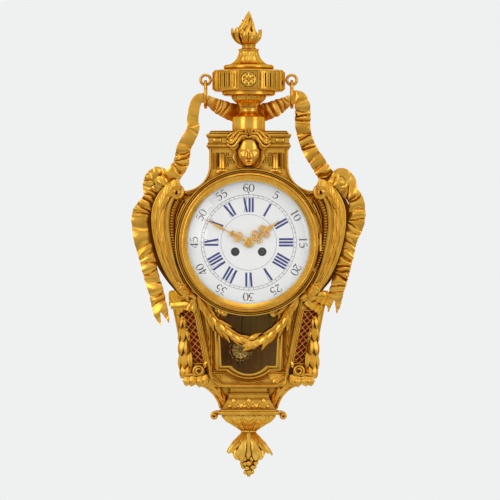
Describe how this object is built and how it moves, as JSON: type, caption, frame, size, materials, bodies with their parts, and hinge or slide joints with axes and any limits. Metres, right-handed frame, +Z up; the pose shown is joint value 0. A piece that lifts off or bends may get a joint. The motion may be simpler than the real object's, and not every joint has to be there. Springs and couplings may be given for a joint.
{
  "type": "cartel clock",
  "caption": "Gilt bronze cartel wall clock with urn and ribbons, hinged glazed bezel, enamel dial and pierced hands, a pendulum window in a carved trunk, and a striking spring movement.",
  "frame": {"origin": "on the wall plane, straight behind the centre of the dial", "axes": "+X to the right seen from the front, +Y into the wall, +Z up"},
  "size_m": [0.3756, 0.1211, 0.746],
  "materials": {
    "gilt": "mercury gilding, part burnished and part matte",
    "antique_gilt": "dull worn gilding",
    "brass": "polished brass",
    "steel": "polished steel",
    "enamel": "white glossy enamel on copper",
    "glass": "clear domed glass",
    "silk": "dark red silk",
    "board": "dark stained board"
  },
  "bodies": {
    "case": {"back_board": "board", "drum_case": "gilt", "neck": "gilt", "urn_foot": "gilt", "urn_drum": "gilt", "urn_lid": "gilt", "flame_finial": "gilt", "ear_eyes": "gilt", "hanging_rings": "gilt", "ribbon_swag": "gilt", "ribbon_left": "gilt", "ribbon_right": "gilt", "bow_tail_left": "gilt", "bow_tail_right": "gilt", "console_left": "gilt", "console_right": "gilt", "mask": "gilt", "trunk_frame": "gilt", "side_grilles": "gilt", "side_silks": "silk", "corner_posts": "gilt", "lower_scrolls": "gilt", "festoon": "gilt", "husk_pendants": "gilt", "tie_bands": "gilt", "base": "gilt", "frieze_block": "gilt", "base_shelf": "gilt", "acanthus_bowl": "gilt", "pendant": "gilt", "hinge_leaf": "brass", "dial": "enamel", "movement_seat": "brass", "front_plate": "brass", "rear_plate": "brass", "movement_screws": "steel", "bell_stand": "steel", "bell": "brass", "suspension_cock": "brass"},
    "bezel": {"bezel": "gilt", "bezel_glass": "glass"},
    "minute": {"cannon_pinion": "steel", "minute_hand": "gilt", "hand_nut": "gilt"},
    "centre": {"centre_arbor": "steel"},
    "hour": {"hour_hand": "gilt", "hour_wheel": "brass"},
    "motion_wheel": {"minute_wheel": "brass"},
    "intermediate": {"intermediate_wheel": "brass"},
    "going_drive": {"going_barrel": "brass"},
    "third": {"third_wheel": "brass"},
    "escape": {"escape_wheel": "brass"},
    "strike_drive": {"strike_barrel": "brass"},
    "going_wind": {"going_winder": "steel"},
    "strike_wind": {"strike_winder": "steel"},
    "anchor": {"pallets": "steel"},
    "pendulum": {"pendulum_rod": "steel", "pendulum_bob": "antique_gilt"},
    "rating": {"rating_nut": "brass"},
    "striker": {"hammer": "steel"}
  },
  "joints": [
    {"name": "bezel_hinge", "type": "hinge", "parent": "case", "child": "bezel", "pos_m": [0.11355, -0.097, 0], "axis": [0, 0, 1], "range_deg": [0, 100]},
    {"name": "minute_turn", "type": "hinge", "parent": "case", "child": "minute", "pos_m": [0, -0.1, 0], "axis": [0, 1, 0], "continuous": true},
    {"name": "hour_turn", "type": "hinge", "parent": "case", "child": "hour", "pos_m": [0, -0.1, 0], "axis": [0, 1, 0], "continuous": true},
    {"name": "centre_turn", "type": "hinge", "parent": "case", "child": "centre", "pos_m": [0, -0.06, 0], "axis": [0, 1, 0], "continuous": true},
    {"name": "motion_wheel_turn", "type": "hinge", "parent": "case", "child": "motion_wheel", "pos_m": [0, -0.088, 0.012], "axis": [0, 1, 0], "continuous": true},
    {"name": "intermediate_turn", "type": "hinge", "parent": "case", "child": "intermediate", "pos_m": [0.01909, -0.06, 0.00748], "axis": [0, 1, 0], "continuous": true},
    {"name": "going_barrel_turn", "type": "hinge", "parent": "case", "child": "going_drive", "pos_m": [0.0214, -0.06, -0.0149], "axis": [0, 1, 0], "continuous": true},
    {"name": "third_turn", "type": "hinge", "parent": "case", "child": "third", "pos_m": [-0.009, -0.06, 0.0156], "axis": [0, 1, 0], "continuous": true},
    {"name": "escape_turn", "type": "hinge", "parent": "case", "child": "escape", "pos_m": [0, -0.06, 0.0275], "axis": [0, 1, 0], "continuous": true},
    {"name": "strike_barrel_turn", "type": "hinge", "parent": "case", "child": "strike_drive", "pos_m": [-0.0214, -0.06, -0.0149], "axis": [0, 1, 0], "continuous": true},
    {"name": "going_winding", "type": "hinge", "parent": "case", "child": "going_wind", "pos_m": [0.0214, -0.06, -0.0149], "axis": [0, 1, 0], "range_deg": [0, 1620]},
    {"name": "strike_winding", "type": "hinge", "parent": "case", "child": "strike_wind", "pos_m": [-0.0214, -0.06, -0.0149], "axis": [0, 1, 0], "range_deg": [0, 1620]},
    {"name": "pendulum_swing", "type": "hinge", "parent": "case", "child": "pendulum", "pos_m": [0, -0.036, 0.042], "axis": [0, 1, 0], "range_deg": [-8.5, 1.5]},
    {"name": "anchor_rock", "type": "hinge", "parent": "case", "child": "anchor", "pos_m": [0, -0.06, 0.042], "axis": [0, 1, 0], "range_deg": [-8.5, 1.5]},
    {"name": "rating_nut_turn", "type": "hinge", "parent": "pendulum", "child": "rating", "pos_m": [0, -0.036, 0.042], "axis": [0.061, 0, 0.9981], "continuous": true},
    {"name": "hammer_lift", "type": "hinge", "parent": "case", "child": "striker", "pos_m": [-0.044, -0.06, 0.02], "axis": [0, 1, 0], "range_deg": [-3, 20]}
  ],
  "couplings": [
    {"joint": "hour_turn", "follows": "minute_turn", "ratio": 0.083333},
    {"joint": "motion_wheel_turn", "follows": "minute_turn", "ratio": -0.33333},
    {"joint": "centre_turn", "follows": "third_turn", "ratio": -0.083333},
    {"joint": "intermediate_turn", "follows": "third_turn", "ratio": 0.011574},
    {"joint": "going_barrel_turn", "follows": "third_turn", "ratio": -0.0017806},
    {"joint": "escape_turn", "follows": "third_turn", "ratio": -8},
    {"joint": "anchor_rock", "follows": "pendulum_swing", "ratio": 1}
  ]
}
